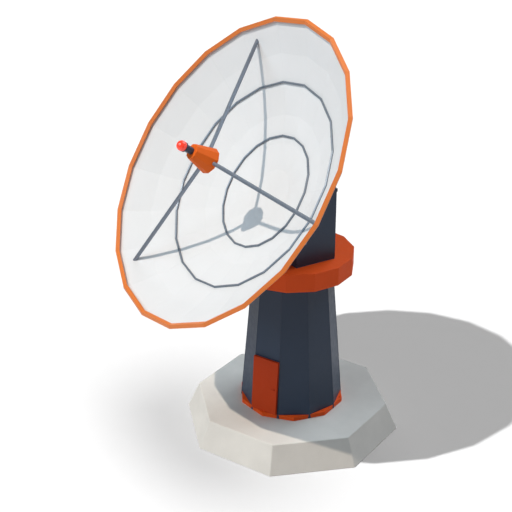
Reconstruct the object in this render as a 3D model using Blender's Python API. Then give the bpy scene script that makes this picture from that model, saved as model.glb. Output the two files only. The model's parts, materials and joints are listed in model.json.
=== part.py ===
"""A radar dish on a turning head, over a ten-sided tapered tower and an eight-sided concrete plinth.

Metres, +Z up, with the tower's door on the -Y side. The origin is the middle of the plinth's underside.
Bearings around the tower are angles from -Y towards +X. The dish has its own frame: its axis is +Z,
and its frame is carried by the elevation axis, which is carried by the azimuth axis.
"""

import math

import bmesh
import bpy
from mathutils import Matrix, Vector

GAP = 0.0003  # between pieces that touch
RUNNING_CLEARANCE = 0.005  # between the door leaf and its frame
FULL_TURN = 2 * math.pi
SMOOTH_ANGLE = math.radians(35)  # round sides that turn less are shaded smooth
FLAT_ANGLE = math.radians(0.01)  # faces that turn less are one face
MERGE_DISTANCE = 1e-6

# Plinth, a concrete frustum that stands on the ground
PLINTH_SIDES = 8
PLINTH_FIRST_BEARING = 22.5
PLINTH_BASE_RADIUS = 3.76
PLINTH_TOP_RADIUS = 3.34
PLINTH_HEIGHT = 0.95

# Tower walls, ten leaning plates around a hollow room
TOWER_SIDES = 10
TOWER_FOOT_RADIUS = 1.75
TOWER_TAPER = 0.0825  # radius lost in each metre of height
WALL_THICKNESS = 0.06
WALL_TOP = 5.85
TOWER_TOP = 5.88

# Base ring, a kerb outside the walls on a flange that runs under them
RING_RADIUS = 1.82
RING_HEIGHT = 0.15
RING_FLANGE = 0.012
RING_BORE_RADIUS = 1.5

# Doorway and door, on the leaning plane of the front wall
DOORWAY_HALF_WIDTH = 0.40
DOORWAY_HEAD = 2.92
FRAME_HALF_WIDTH = 0.49
FRAME_HEAD = 0.124
FRAME_DEPTH = 0.03
LEAF_HALF_WIDTH = 0.49
LEAF_THICKNESS = 0.06
LEAF_FOOT = 0.16  # up the wall from the plinth's top
LEAF_TOP = 2.10
HINGE_OFFSET = 0.015  # from the leaf's edge to the hinge pin
BARREL_SIDES = 12
BARREL_RADIUS = 0.012
BARREL_LENGTH = 0.05
PIN_RADIUS = 0.006
PIN_LENGTH = 0.048  # stands in the moving half
PIN_HOLE_RADIUS = 0.0075
HINGE_HEIGHTS = {"low": 0.42, "high": 1.78}
PULL_SIDES = 24
PULL_RADIUS = 0.032
PULL_DEPTH = 0.012
PULL_HEIGHT = 1.08
PULL_FROM_EDGE = 0.09

# Slewing bearing on the tower's top plate
BEARING_SIDES = 48
FIXED_RACE_RADIUS = 0.90
FIXED_RACE_TOP = 5.96
TURNING_RACE_RADIUS = 1.00
TURNING_RACE_TOP = 6.04
RECESS_RADIUS = 1.05

# Turning head: the housing, and a fork of two arms
HEAD_BEARING = -24.4
HOUSING_SIDES = 14
HOUSING_RADIUS = 2.05
HOUSING_FOOT = 5.89
HOUSING_TOP = 6.52
ARM_INNER = 0.97
ARM_OUTER = 1.33
ARM_FRONT = -0.73
ARM_BACK = 0.76
ARM_TOP = 8.86
ARM_CHAMFER_FRONT = 8.20
ARM_CHAMFER_BACK = -0.30
CAP_OVERHANG = 0.02
CAP_TOP = 8.97
SADDLE_TOP = 6.75

# Elevation axis
ELEVATION_HEIGHT = 8.03
ELEVATION = 35.0
TRUNNION_SIDES = 48
TRUNNION_RADIUS = 0.1713
TRUNNION_BORE = 0.172
TRUNNION_BORE_END = 1.30
TRUNNION_END = 1.29

# Reflector, a faceted paraboloid
DISH_SIDES = 20
DISH_RINGS = 6
DISH_RADIUS = 5.165
DISH_DEPTH = 2.07
DISH_VERTEX = 1.06  # from the elevation axis
SHELL_THICKNESS = 0.04
RIM_FORWARD = 0.045
RIM_HALF_WIDTH = 0.092
HOOP_RADII = {"inner": 1.93, "outer": 3.52}
HOOP_TUBE = 0.036
HOOP_TUBE_SIDES = 6

# Feed: horn, stub and beacon ball on three struts
HORN_SIDES = 10
HORN_WIDE_RADIUS = 0.43
HORN_NARROW_RADIUS = 0.25
HORN_MOUTH = 3.777
HORN_END = 4.53
STUB_SIDES = 8
STUB_RADIUS = 0.115
BALL_RADIUS = 0.175
BALL_CENTRE = 4.93
BALL_SEAT = 4.83
STRUT_SIDES = 8
STRUT_RADIUS = 0.065
STRUT_FOOT_RADIUS = 4.78
STRUT_HEAD_RADIUS = 0.40
STRUT_HEAD = 3.85
STRUT_SPARE = 0.2  # length cut away at each end
STRUT_ANGLES = {"upper": -30.0, "lower": -150.0, "side": 90.0}
STRUT_FACET_REACH = 1.0  # degrees to each side, where the facets under a foot lie

# Hub behind the reflector
HUB_SIDES = 8
HUB_APOTHEM = 0.62
HUB_BACK = -0.55
HUB_WAIST = 0.30
HUB_LAP = 0.01  # the flare starts inside the body
HUB_FLANGE_RADIUS = 0.92
HUB_FRONT = 1.12
HUB_RINGS = 3  # facet rings of the reflector over the hub
WEIGHT_BACK = -0.95
WEIGHT_HALF_WIDTH = 0.55
WEIGHT_HALF_HEIGHT = 0.45

# Ribs and ring beams on the reflector's back
RIB_COUNT = 10
RIB_THICKNESS = 0.05
RIB_DEPTH = 0.10
RIB_SINK = 0.012
BEAM_SINK = 0.007
RIB_FIRST_RADIUS = 0.95
BEAM_RINGS = (2, 3, 4)
BEAM_WIDTH = 0.08
BEAM_DEPTH = 0.07

PAINTS = {
    "concrete": ((0.66, 0.65, 0.62), 0.9, 0.0),
    "navy_paint": ((0.063, 0.082, 0.122), 0.45, 0.0),
    "red_paint": ((0.75, 0.075, 0.013), 0.45, 0.0),
    "orange_paint": ((0.80, 0.25, 0.06), 0.45, 0.0),
    "white_paint": ((0.76, 0.77, 0.78), 0.5, 0.0),
    "slate_paint": ((0.045, 0.055, 0.075), 0.5, 0.0),
    "grey_steel": ((0.22, 0.25, 0.30), 0.45, 0.6),
    "beacon_red": ((0.85, 0.03, 0.02), 0.3, 0.0),
    "bare_steel": ((0.45, 0.45, 0.46), 0.35, 1.0),
}

HALF_SECTOR = math.pi / TOWER_SIDES
WALL_LEAN = math.atan(TOWER_TAPER * math.cos(HALF_SECTOR))
DISH_SECTOR = FULL_TURN / DISH_SIDES


def clear_scene():
    for obj in list(bpy.data.objects):
        bpy.data.objects.remove(obj, do_unlink=True)


def make_paint(name, paint):
    """The Principled material of one piece."""
    colour, roughness, metallic = PAINTS[paint]
    material = bpy.data.materials.new(f"{name}_{paint}")
    material.use_nodes = True
    shader = material.node_tree.nodes["Principled BSDF"]
    shader.inputs["Base Color"].default_value = (*colour, 1.0)
    shader.inputs["Roughness"].default_value = roughness
    shader.inputs["Metallic"].default_value = metallic
    material.diffuse_color = (*colour, 1.0)
    return material


def add_empty(name, location, rotation, parent=None):
    empty = bpy.data.objects.new(name, None)
    empty.location = location
    empty.rotation_euler = rotation
    empty.parent = parent
    bpy.context.scene.collection.objects.link(empty)
    return empty


def link_mesh(name, bm, parent):
    """An object of a finished bmesh, with its faces turned outwards."""
    bmesh.ops.recalc_face_normals(bm, faces=bm.faces)
    mesh = bpy.data.meshes.new(name)
    bm.to_mesh(mesh)
    bm.free()
    obj = bpy.data.objects.new(name, mesh)
    obj.parent = parent
    bpy.context.scene.collection.objects.link(obj)
    return obj


def add_piece(name, bm, paint, parent=None, smooth=False):
    """A named piece with its own paint."""
    obj = link_mesh(name, bm, parent)
    obj.data.materials.append(make_paint(name, paint))
    if smooth:
        obj.data.shade_smooth()
        obj.data.set_sharp_from_angle(angle=SMOOTH_ANGLE)
    return obj


def shape_with(target, name, bm, operation, parent=None):
    """Cuts a helper shape from the target, or joins it on, and hides the helper."""
    helper = link_mesh(name, bm, parent)
    helper.hide_render = True
    helper.hide_viewport = True
    helper.display_type = "WIRE"
    modifier = target.modifiers.new(name, "BOOLEAN")
    modifier.operation = operation
    modifier.solver = "EXACT"
    modifier.object = helper
    return helper


def add_prism(bm, sides, radius_low, radius_high, low, high, first_bearing=0.0):
    """An upright prism or frustum, with a corner at the first bearing."""
    turn = Matrix.Rotation(math.radians(first_bearing), 4, "Z")
    place = Matrix.Translation((0, 0, (low + high) / 2))
    bmesh.ops.create_cone(
        bm,
        cap_ends=True,
        segments=sides,
        radius1=radius_low,
        radius2=radius_high,
        depth=high - low,
        matrix=place @ turn,
    )


def prism(*sizes):
    bm = bmesh.new()
    add_prism(bm, *sizes)
    return bm


def box(low, high):
    bm = bmesh.new()
    size = Vector(high) - Vector(low)
    middle = (Vector(high) + Vector(low)) / 2
    place = Matrix.Translation(middle) @ Matrix.Diagonal((*size, 1))
    bmesh.ops.create_cube(bm, size=1, matrix=place)
    return bm


def hull(points):
    """The convex solid around some points, its flat faces whole."""
    bm = bmesh.new()
    corners = [bm.verts.new(point) for point in points]
    bmesh.ops.convex_hull(bm, input=corners)
    bmesh.ops.dissolve_limit(
        bm, angle_limit=FLAT_ANGLE, verts=bm.verts, edges=bm.edges
    )
    return bm


def extruded(outline, thickness, axis):
    """A flat outline of (a, b) points in the two other axes, given a thickness along one axis."""
    bm = bmesh.new()
    flat = {
        "X": lambda a, b: (0, a, b),
        "Y": lambda a, b: (a, 0, b),
    }[axis]
    face = bm.faces.new([bm.verts.new(flat(a, b)) for a, b in outline])
    grown = bmesh.ops.extrude_face_region(bm, geom=[face])
    moved = [item for item in grown["geom"] if isinstance(item, bmesh.types.BMVert)]
    shift = {"X": (thickness, 0, 0), "Y": (0, thickness, 0)}[axis]
    bmesh.ops.translate(bm, verts=moved, vec=shift)
    return bm


def turned(profile, steps, closed=True):
    """A profile of (radius, height) points spun a full turn about Z, with its first corner at +Y."""
    bm = bmesh.new()
    points = [bm.verts.new((0, radius, height)) for radius, height in profile]
    pairs = list(zip(points, points[1:]))
    if closed:
        pairs.append((points[-1], points[0]))
    edges = [bm.edges.new(pair) for pair in pairs]
    bmesh.ops.spin(
        bm,
        geom=points + edges,
        cent=(0, 0, 0),
        axis=(0, 0, 1),
        angle=FULL_TURN,
        steps=steps,
        use_merge=True,
    )
    bmesh.ops.remove_doubles(bm, verts=bm.verts, dist=MERGE_DISTANCE)
    return bm


def cut_flat(bm, point, normal):
    """Takes away what lies on the normal's side of a plane, and closes the cut."""
    everything = bm.verts[:] + bm.edges[:] + bm.faces[:]
    bmesh.ops.bisect_plane(
        bm, geom=everything, plane_co=point, plane_no=normal, clear_outer=True
    )
    rim = [edge for edge in bm.edges if edge.is_boundary]
    bmesh.ops.holes_fill(bm, edges=rim)


def tower_apothem(height, inset=0.0):
    """Distance from the tower's axis to a wall's face at a height."""
    radius = TOWER_FOOT_RADIUS - TOWER_TAPER * (height - PLINTH_HEIGHT)
    return radius * math.cos(HALF_SECTOR) - inset


def build_plinth():
    sizes = (PLINTH_SIDES, PLINTH_BASE_RADIUS, PLINTH_TOP_RADIUS, 0, PLINTH_HEIGHT)
    add_piece("plinth", prism(*sizes, PLINTH_FIRST_BEARING), "concrete")


def build_base_ring():
    """The kerb ring, notched by the tower's ten corners, on its flange."""
    foot = PLINTH_HEIGHT + GAP
    sizes = (TOWER_SIDES, RING_RADIUS, RING_RADIUS, foot, PLINTH_HEIGHT + RING_HEIGHT)
    ring = add_piece("base_ring", prism(*sizes), "red_paint")
    low = foot + RING_FLANGE
    high = PLINTH_HEIGHT + 2 * RING_HEIGHT
    corner = math.cos(HALF_SECTOR)
    wall_space = prism(
        TOWER_SIDES,
        (tower_apothem(low) + GAP) / corner,
        (tower_apothem(high) + GAP) / corner,
        low,
        high,
        math.degrees(HALF_SECTOR),
    )
    shape_with(ring, "wall_space", wall_space, "DIFFERENCE")
    bore = (TOWER_SIDES, RING_BORE_RADIUS, RING_BORE_RADIUS, 0, high)
    shape_with(
        ring, "ring_bore", prism(*bore, math.degrees(HALF_SECTOR)), "DIFFERENCE"
    )


def wall_piece(index, low, high, left=None, right=None):
    """A piece of one wall. An edge that isn't given is the mitre at the tower's corner."""
    turn = Matrix.Rotation(index * 2 * HALF_SECTOR, 4, "Z")
    mitre_gap = GAP / 2 / math.cos(HALF_SECTOR)
    points = []
    for height in (low, high):
        for inset in (0.0, WALL_THICKNESS):
            face = tower_apothem(height, inset)
            half = face * math.tan(HALF_SECTOR) - mitre_gap
            for x in (
                -half if left is None else left,
                half if right is None else right,
            ):
                points.append(turn @ Vector((x, -face, height)))
    return hull(points)


def build_walls():
    foot = PLINTH_HEIGHT + 2 * GAP + RING_FLANGE
    sill = PLINTH_HEIGHT + RING_HEIGHT
    edge = DOORWAY_HALF_WIDTH
    for index in range(1, TOWER_SIDES):
        name = f"wall_panel_{index}"
        add_piece(name, wall_piece(index, foot, WALL_TOP), "navy_paint")
    pieces = {
        "door_jamb_left": (foot, DOORWAY_HEAD, None, -edge),
        "door_jamb_right": (foot, DOORWAY_HEAD, edge, None),
        "door_header": (DOORWAY_HEAD + GAP, WALL_TOP, None, None),
        "door_sill": (foot, sill, -edge + GAP, edge - GAP),
    }
    for name, sizes in pieces.items():
        add_piece(name, wall_piece(0, *sizes), "navy_paint")
    corner = math.cos(HALF_SECTOR)
    cap = prism(
        TOWER_SIDES,
        tower_apothem(WALL_TOP) / corner,
        tower_apothem(TOWER_TOP) / corner,
        WALL_TOP + GAP,
        TOWER_TOP,
        math.degrees(HALF_SECTOR),
    )
    add_piece("tower_top_plate", cap, "navy_paint")


def build_fixed_hinge(level, height, parent):
    """The fixed half of a hinge: a barrel and its pin, on a lug that reaches the door frame."""
    name = f"door_hinge_{level}"
    foot = height - BARREL_LENGTH
    body = prism(BARREL_SIDES, BARREL_RADIUS, BARREL_RADIUS, foot, height)
    barrel = add_piece(name, body, "red_paint", parent)
    pin = prism(BARREL_SIDES, PIN_RADIUS, PIN_RADIUS, foot + PIN_RADIUS, height + PIN_LENGTH)
    shape_with(barrel, f"{name}_pin", pin, "UNION", parent)
    reach = LEAF_HALF_WIDTH + HINGE_OFFSET - FRAME_HALF_WIDTH - GAP
    back = RUNNING_CLEARANCE + FRAME_DEPTH - GAP
    lug = box((0, RUNNING_CLEARANCE, foot), (reach, back, height))
    shape_with(barrel, f"{name}_lug", lug, "UNION", parent)


def build_moving_hinge(level, height, parent):
    """The moving half: a knuckle around the pin, on a tab that reaches the leaf's edge."""
    name = f"door_knuckle_{level}"
    low = height + GAP
    high = height + BARREL_LENGTH
    body = prism(BARREL_SIDES, BARREL_RADIUS, BARREL_RADIUS, low, high)
    knuckle = add_piece(name, body, "red_paint", parent)
    tab = box((0, -BARREL_RADIUS, low), (HINGE_OFFSET - GAP, 0, high))
    shape_with(knuckle, f"{name}_tab", tab, "UNION", parent)
    radius = PIN_HOLE_RADIUS
    hole = prism(BARREL_SIDES, radius, radius, low - radius, high + radius)
    shape_with(knuckle, f"{name}_hole", hole, "DIFFERENCE", parent)


def build_door():
    """The frame on the leaning wall, and the leaf over it, hung on its left edge."""
    plane = add_empty(
        "door_plane",
        (0, -tower_apothem(PLINTH_HEIGHT), PLINTH_HEIGHT),
        (-WALL_LEAN, 0, 0),
    )
    foot = LEAF_FOOT
    head = (DOORWAY_HEAD - PLINTH_HEIGHT) / math.cos(WALL_LEAN)
    outline = [
        (-FRAME_HALF_WIDTH, foot),
        (-DOORWAY_HALF_WIDTH, foot),
        (-DOORWAY_HALF_WIDTH, head),
        (DOORWAY_HALF_WIDTH, head),
        (DOORWAY_HALF_WIDTH, foot),
        (FRAME_HALF_WIDTH, foot),
        (FRAME_HALF_WIDTH, head + FRAME_HEAD),
        (-FRAME_HALF_WIDTH, head + FRAME_HEAD),
    ]
    frame = extruded(outline, GAP - FRAME_DEPTH, "Y")
    bmesh.ops.translate(frame, verts=frame.verts, vec=(0, -GAP, 0))
    add_piece("door_frame", frame, "red_paint", plane)

    pin_x = -LEAF_HALF_WIDTH - HINGE_OFFSET
    pin_y = -FRAME_DEPTH - RUNNING_CLEARANCE
    axis = add_empty("door_axis", (pin_x, pin_y, 0), (0, 0, 0), plane)
    leaf = box(
        (HINGE_OFFSET, -LEAF_THICKNESS, LEAF_FOOT),
        (HINGE_OFFSET + 2 * LEAF_HALF_WIDTH, 0, LEAF_TOP),
    )
    add_piece("door_leaf", leaf, "red_paint", axis)
    pull = prism(PULL_SIDES, PULL_RADIUS, PULL_RADIUS, GAP, PULL_DEPTH)
    upright = Matrix.Rotation(math.radians(90), 4, "X")
    pull_x = HINGE_OFFSET + 2 * LEAF_HALF_WIDTH - PULL_FROM_EDGE
    place = Matrix.Translation((pull_x, -LEAF_THICKNESS, PULL_HEIGHT))
    bmesh.ops.transform(pull, matrix=place @ upright, verts=pull.verts)
    add_piece("door_pull", pull, "red_paint", axis, smooth=True)
    hinge_line = add_empty("door_hinge_line", (pin_x, pin_y, 0), (0, 0, 0), plane)
    for level, height in HINGE_HEIGHTS.items():
        build_fixed_hinge(level, height, hinge_line)
        build_moving_hinge(level, height, axis)


def build_bearing(head):
    """Two discs face to face, the lower one fixed on the tower and the upper one turning."""
    radius = FIXED_RACE_RADIUS
    fixed = prism(BEARING_SIDES, radius, radius, TOWER_TOP + GAP, FIXED_RACE_TOP)
    add_piece("bearing_fixed_race", fixed, "bare_steel", smooth=True)
    radius = TURNING_RACE_RADIUS
    above = prism(
        BEARING_SIDES, radius, radius, FIXED_RACE_TOP + GAP, TURNING_RACE_TOP
    )
    add_piece("bearing_turning_race", above, "bare_steel", head, smooth=True)


def build_head():
    """The housing that turns, and the fork that holds the dish."""
    head = add_empty("azimuth_axis", (0, 0, 0), (0, 0, math.radians(HEAD_BEARING)))
    build_bearing(head)
    sizes = (HOUSING_SIDES, HOUSING_RADIUS, HOUSING_RADIUS, HOUSING_FOOT, HOUSING_TOP)
    housing = add_piece("turntable_housing", prism(*sizes), "red_paint", head)
    recess = prism(
        BEARING_SIDES, RECESS_RADIUS, RECESS_RADIUS, 0, TURNING_RACE_TOP + GAP
    )
    shape_with(housing, "bearing_recess", recess, "DIFFERENCE", head)
    foot = HOUSING_TOP + GAP
    saddle = box(
        (-ARM_INNER + GAP, ARM_FRONT, foot), (ARM_INNER - GAP, ARM_BACK, SADDLE_TOP)
    )
    add_piece("fork_saddle", saddle, "navy_paint", head)
    outline = [
        (ARM_FRONT, foot),
        (ARM_BACK, foot),
        (ARM_BACK, ARM_TOP),
        (ARM_CHAMFER_BACK, ARM_TOP),
        (ARM_FRONT, ARM_CHAMFER_FRONT),
    ]
    for side, sign in (("left", -1), ("right", 1)):
        arm = extruded(outline, ARM_OUTER - ARM_INNER, "X")
        start = ARM_INNER if sign > 0 else -ARM_OUTER
        bmesh.ops.translate(arm, verts=arm.verts, vec=(start, 0, 0))
        solid_arm = add_piece(f"fork_arm_{side}", arm, "navy_paint", head)
        bore = cross_bar(TRUNNION_BORE, sign * HUB_APOTHEM, sign * TRUNNION_BORE_END)
        bmesh.ops.translate(bore, verts=bore.verts, vec=(0, 0, ELEVATION_HEIGHT))
        shape_with(solid_arm, f"trunnion_bore_{side}", bore, "DIFFERENCE", head)
        edges = sorted(
            (sign * (ARM_INNER - CAP_OVERHANG), sign * (ARM_OUTER + CAP_OVERHANG))
        )
        cap = box(
            (edges[0], ARM_CHAMFER_BACK, ARM_TOP + GAP),
            (edges[1], ARM_BACK + CAP_OVERHANG, CAP_TOP),
        )
        add_piece(f"fork_cap_{side}", cap, "navy_paint", head)
    return head


def cross_bar(radius, start, end):
    """A round bar along X, between two places."""
    bar = prism(TRUNNION_SIDES, radius, radius, min(start, end), max(start, end))
    lay = Matrix.Rotation(math.radians(90), 4, "Y")
    bmesh.ops.transform(bar, matrix=lay, verts=bar.verts)
    return bar


def surface_height(radius):
    """The paraboloid's height along the dish's axis."""
    return DISH_VERTEX + DISH_DEPTH * (radius / DISH_RADIUS) ** 2


def front_points():
    """(radius, height) of each facet ring's corners, from the vertex to the rim."""
    radii = [DISH_RADIUS * ring / DISH_RINGS for ring in range(DISH_RINGS + 1)]
    return [(radius, surface_height(radius)) for radius in radii]


def back_points(extra=0.0):
    """The same corners on the shell's back, or that much farther back."""
    points = []
    for radius, height in front_points():
        slope = 2 * DISH_DEPTH * radius / DISH_RADIUS**2
        points.append((radius, height - (SHELL_THICKNESS + extra) * math.hypot(1, slope)))
    return points


def at_rim_seat(points):
    """The last stretch of a line of points, cut short at the rim tube's back inner face."""
    (r0, h0), (r1, h1) = points[-2:]
    seat = DISH_RADIUS + rim_height() - RIM_HALF_WIDTH - GAP * math.sqrt(2)
    share = (seat - r0 - h0) / (r1 + h1 - r0 - h0)
    return points[:-1] + [(r0 + share * (r1 - r0), h0 + share * (h1 - h0))]


def rim_height():
    return DISH_VERTEX + DISH_DEPTH + RIM_FORWARD


def facet_plane(points, angle, ring):
    """A point and the inward normal of one flat facet of a surface, for a direction around the axis."""
    sector = math.floor(math.radians(angle) / DISH_SECTOR)
    middle = (sector + 0.5) * DISH_SECTOR
    (r0, h0), (r1, h1) = points[ring], points[ring + 1]
    shrink = math.cos(DISH_SECTOR / 2)
    run = Vector((shrink * (r1 - r0), h1 - h0)).normalized()
    outward = Vector((math.sin(middle), math.cos(middle), 0))
    point = outward * (r0 * shrink) + Vector((0, 0, h0))
    normal = Vector((0, 0, run.x)) - outward * run.y
    return point, normal


def build_reflector(dish):
    front = at_rim_seat(front_points())
    back = at_rim_seat(back_points())
    shell = turned(front + back[::-1], DISH_SIDES, closed=False)
    reflector = add_piece("reflector", shell, "white_paint", dish)
    build_ribs(reflector, dish)
    height = rim_height()
    rim = turned(
        [
            (DISH_RADIUS + RIM_HALF_WIDTH, height),
            (DISH_RADIUS, height + RIM_HALF_WIDTH),
            (DISH_RADIUS - RIM_HALF_WIDTH, height),
            (DISH_RADIUS, height - RIM_HALF_WIDTH),
        ],
        DISH_SIDES,
    )
    add_piece("rim_tube", rim, "orange_paint", dish)


def build_hoops(dish):
    """Two hoops of six-sided bar, each with a flat on the facets under it."""
    front = front_points()
    flat = HOOP_TUBE * math.cos(math.pi / HOOP_TUBE_SIDES) + GAP
    for name, radius in HOOP_RADII.items():
        ring = int(radius / DISH_RADIUS * DISH_RINGS)
        (r0, h0), (r1, h1) = front[ring], front[ring + 1]
        tilt = math.atan2(h1 - h0, r1 - r0)
        foot = h0 + (radius - r0) * math.tan(tilt)
        centre = Vector((radius - flat * math.sin(tilt), foot + flat * math.cos(tilt)))
        down = tilt - math.pi / 2
        profile = []
        for corner in range(HOOP_TUBE_SIDES):
            angle = down + (corner + 0.5) * FULL_TURN / HOOP_TUBE_SIDES
            profile.append(
                (
                    centre.x + HOOP_TUBE * math.cos(angle),
                    centre.y + HOOP_TUBE * math.sin(angle),
                )
            )
        add_piece(f"hoop_{name}", turned(profile, DISH_SIDES), "slate_paint", dish)


def around(angle, radius, height):
    """A point of the dish's frame, by its angle from +Y towards +X."""
    turn = math.radians(angle)
    return Vector((radius * math.sin(turn), radius * math.cos(turn), height))


def build_struts(dish):
    """Three struts, cut flush to the reflector's facets and to the horn's side."""
    front = front_points()
    horn_sector = FULL_TURN / HORN_SIDES
    narrowing = (HORN_WIDE_RADIUS - HORN_NARROW_RADIUS) * math.cos(horn_sector / 2)
    for name, angle in STRUT_ANGLES.items():
        foot = around(angle, STRUT_FOOT_RADIUS, surface_height(STRUT_FOOT_RADIUS))
        head = around(angle, STRUT_HEAD_RADIUS, STRUT_HEAD)
        along = head - foot
        end = along.length + STRUT_SPARE
        bar = prism(STRUT_SIDES, STRUT_RADIUS, STRUT_RADIUS, -STRUT_SPARE, end)
        aim = along.to_track_quat("Z", "Y").to_matrix().to_4x4()
        bmesh.ops.transform(bar, matrix=Matrix.Translation(foot) @ aim, verts=bar.verts)
        planes = []
        for nudge in (-STRUT_FACET_REACH, STRUT_FACET_REACH):
            point, normal = facet_plane(front, angle + nudge, DISH_RINGS - 1)
            if not any((point - other).length < GAP for other, _ in planes):
                planes.append((point, normal))
        for point, normal in planes:
            cut_flat(bar, point + normal * GAP, -normal)
        middle = (math.floor(math.radians(angle) / horn_sector) + 0.5) * horn_sector
        outward = Vector((math.sin(middle), math.cos(middle), 0))
        side = Vector((HORN_END - HORN_MOUTH, narrowing)).normalized()
        normal = outward * side.x + Vector((0, 0, side.y))
        apothem = HORN_WIDE_RADIUS * math.cos(horn_sector / 2)
        point = outward * apothem + Vector((0, 0, HORN_MOUTH))
        cut_flat(bar, point + normal * GAP, -normal)
        add_piece(f"strut_{name}", bar, "grey_steel", dish)


def build_feed(dish):
    horn = prism(
        HORN_SIDES, HORN_WIDE_RADIUS, HORN_NARROW_RADIUS, HORN_MOUTH, HORN_END
    )
    add_piece("feed_horn", horn, "orange_paint", dish)
    stub = prism(STUB_SIDES, STUB_RADIUS, STUB_RADIUS, HORN_END + GAP, BALL_SEAT)
    add_piece("feed_stub", stub, "navy_paint", dish)
    ball = bmesh.new()
    centre = Matrix.Translation((0, 0, BALL_CENTRE))
    bmesh.ops.create_icosphere(ball, subdivisions=2, radius=BALL_RADIUS, matrix=centre)
    cut_flat(ball, Vector((0, 0, BALL_SEAT + GAP)), Vector((0, 0, -1)))
    add_piece("beacon_ball", ball, "beacon_red", dish)


def build_hub(dish):
    """The hub between the fork's arms, its trunnions and its counterweight."""
    corner = math.cos(math.pi / HUB_SIDES)
    waist = HUB_APOTHEM / corner
    eighth = 180 / HUB_SIDES
    body = prism(HUB_SIDES, waist, waist, HUB_BACK, HUB_WAIST, eighth)
    hub = add_piece("dish_hub", body, "navy_paint", dish)
    foot = HUB_WAIST - HUB_LAP
    flare = prism(HUB_SIDES, waist, HUB_FLANGE_RADIUS, foot, HUB_FRONT, eighth)
    shape_with(hub, "hub_flare", flare, "UNION", dish)
    above = back_points(GAP)[: HUB_RINGS + 1]
    reach = above[-1][0]
    top = HUB_FRONT + reach
    space = turned(above + [(reach, top), (0, top)], DISH_SIDES, closed=False)
    shape_with(hub, "shell_space", space, "DIFFERENCE", dish)
    for side, sign in (("left", -1), ("right", 1)):
        bar = cross_bar(
            TRUNNION_RADIUS, sign * (HUB_APOTHEM + GAP), sign * TRUNNION_END
        )
        add_piece(f"trunnion_{side}", bar, "bare_steel", dish, smooth=True)
    weight = box(
        (-WEIGHT_HALF_WIDTH, -WEIGHT_HALF_HEIGHT, WEIGHT_BACK),
        (WEIGHT_HALF_WIDTH, WEIGHT_HALF_HEIGHT, HUB_BACK - GAP),
    )
    add_piece("counterweight", weight, "navy_paint", dish)


def rib_outline():
    """A rib's side view along the middle of a facet, its front edge sunk in the shell."""
    middle = math.cos(DISH_SECTOR / 2)
    front = back_points(-RIB_SINK)
    behind = back_points(RIB_DEPTH)
    outline = []
    for points in (front, behind):
        (r0, h0), (r1, h1) = points[1], points[2]
        share = (RIB_FIRST_RADIUS - r0) / (r1 - r0)
        start = (RIB_FIRST_RADIUS, h0 + share * (h1 - h0))
        line = [start] + points[2:DISH_RINGS]
        outline.append([(radius * middle, height) for radius, height in line])
    return outline[0] + outline[1][::-1]


def build_ribs(reflector, dish):
    """Ten radial ribs across three ring beams, joined to the back of the shell."""
    front = back_points(-BEAM_SINK)
    behind = back_points(BEAM_DEPTH)
    beams = []
    for ring in BEAM_RINGS:
        (r0, h0), (r1, h1) = front[ring], behind[ring]
        share = BEAM_WIDTH / (front[ring + 1][0] - r0)
        rise = share * (front[ring + 1][1] - h0)
        profile = [
            (r0, h0),
            (r1, h1),
            (r1 + BEAM_WIDTH, h1 + rise),
            (r0 + BEAM_WIDTH, h0 + rise),
        ]
        beams.append((f"ring_beam_{ring}", turned(profile, DISH_SIDES)))
    name, first_beam = beams[0]
    frame = shape_with(reflector, name, first_beam, "UNION", dish)
    for name, beam in beams[1:]:
        shape_with(frame, name, beam, "UNION", dish)
    outline = rib_outline()
    for index in range(RIB_COUNT):
        rib = extruded(outline, RIB_THICKNESS, "X")
        bmesh.ops.translate(rib, verts=rib.verts, vec=(-RIB_THICKNESS / 2, 0, 0))
        turn = Matrix.Rotation((2 * index + 0.5) * DISH_SECTOR, 4, "Z")
        bmesh.ops.transform(rib, matrix=turn, verts=rib.verts)
        shape_with(frame, f"rib_{index}", rib, "UNION", dish)


def build_dish(head):
    """Everything that tips with the dish."""
    tip = math.radians(90 - ELEVATION)
    dish = add_empty("elevation_axis", (0, 0, ELEVATION_HEIGHT), (tip, 0, 0), head)
    build_reflector(dish)
    build_hoops(dish)
    build_feed(dish)
    build_struts(dish)
    build_hub(dish)


def main():
    clear_scene()
    build_plinth()
    build_base_ring()
    build_walls()
    build_door()
    build_dish(build_head())


main()
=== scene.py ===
"""The looks of a radar dish, built around its packed solids.

The dish turns on a fork over a ten-sided steel tower on a concrete plinth. Each operator
finishes one group of pieces: it paints the solids that show as they are, and models what is
finer than the solids. Sizes are in metres in the object's own frame, +Z up, with the tower's
door on the -Y side.
"""

import json
import math

import bmesh
import bpy
from bpy.props import (
    FloatProperty,
    FloatVectorProperty,
    IntProperty,
    PointerProperty,
)
from bpy.types import Operator, Panel, PropertyGroup
from mathutils import Matrix, Vector


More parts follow.
